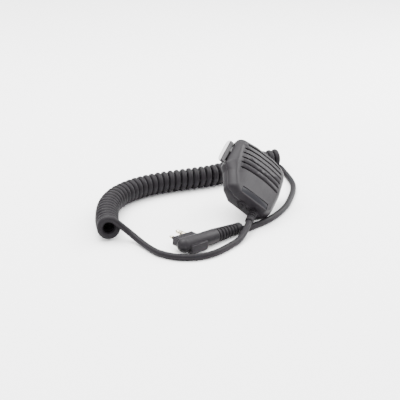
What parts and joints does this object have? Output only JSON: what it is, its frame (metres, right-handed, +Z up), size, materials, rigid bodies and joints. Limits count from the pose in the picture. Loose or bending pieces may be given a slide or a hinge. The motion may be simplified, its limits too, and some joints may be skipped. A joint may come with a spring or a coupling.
{
  "type": "speaker microphone",
  "caption": "Black compact speaker microphone with a slotted domed face, side talk button, swivel spring clip, curly cord and right-angle two-pin radio plug.",
  "frame": {"origin": "on the surface it lies on, below the middle of the box of the microphone itself (housing, button and clip, without the cord and plug)", "axes": "+Z up from the surface, +Y away from the side the cord leaves, +X towards the housing's low edge; the housing leans, so its own axes are oblique in this frame"},
  "size_m": [0.1573, 0.1939, 0.0526],
  "materials": {
    "housing": "satin moulded ABS, fine texture",
    "rubber": "matt black rubber",
    "cord": "satin black polyurethane cord jacket",
    "button": "satin black plastic",
    "button_pad": "pale grey glossy insert",
    "strip": "blue-grey satin plate, blank",
    "contact": "gold plated",
    "steel": "zinc plated",
    "dark_steel": "black oxide",
    "board": "green solder mask",
    "felt": "black felt",
    "cone": "coated paper cone",
    "insulator": "black moulded insulator"
  },
  "bodies": {
    "housing": {"front_case": "housing", "rear_case": "housing", "case_gasket": "rubber", "name_strip": "strip", "case_screw_1": "dark_steel", "case_screw_2": "dark_steel", "case_screw_3": "dark_steel", "case_screw_4": "dark_steel", "speaker_basket": "steel", "speaker_cone": "cone", "speaker_magnet": "steel", "grille_felt": "felt", "circuit_board": "board", "board_capacitor": "steel", "board_chip": "insulator", "microphone_capsule": "steel", "capsule_boot": "rubber", "earphone_jack": "insulator", "jack_ring": "housing", "cord_gland": "rubber", "cord_clamp": "insulator", "ptt_seal": "rubber", "ptt_switch": "insulator", "clip_detent_plate": "dark_steel", "clip_pivot_screw": "steel", "clip_wave_washer": "steel", "plug_shell": "housing", "plug_pin_block": "housing", "small_pin_sleeve": "contact", "small_pin_insulator": "insulator", "small_pin_tip": "contact", "large_pin_sleeve": "contact", "large_pin_insulator": "insulator", "large_pin_tip": "contact", "plug_relief": "rubber", "cord_tail_1": "cord", "cord_coil": "cord", "cord_tail_2": "cord"},
    "ptt": {"ptt_button": "button", "ptt_pad": "button_pad"},
    "jack_cap": {"jack_cap": "rubber"},
    "clip": {"clip_plate": "housing", "clip_hinge_pin": "steel", "clip_spring": "steel"},
    "clip_jaw": {"clip_jaw": "housing"}
  },
  "joints": [
    {"name": "ptt_press", "type": "slide", "parent": "housing", "child": "ptt", "axis": [0.7205, -0.0592, -0.6909], "range_m": [0, 0.0012], "stiffness_N_per_m": 1500, "springref_m": -0.0006},
    {"name": "jack_cap_pull", "type": "slide", "parent": "housing", "child": "jack_cap", "axis": [-0.1848, -0.9172, -0.353], "range_m": [0, 0.0045]},
    {"name": "clip_swivel", "type": "hinge", "parent": "housing", "child": "clip", "pos_m": [-0.00347, 0.00603, 0.02233], "axis": [0.6213, -0.3874, 0.6811], "range_deg": [-125, 55]},
    {"name": "clip_jaw_open", "type": "hinge", "parent": "clip", "child": "clip_jaw", "pos_m": [-0.00985, 0.01417, 0.02309], "axis": [0.7297, 0.6027, -0.3229], "range_deg": [0, 18], "stiffness_Nm_per_rad": 0.15, "springref_deg": -20.05}
  ]
}
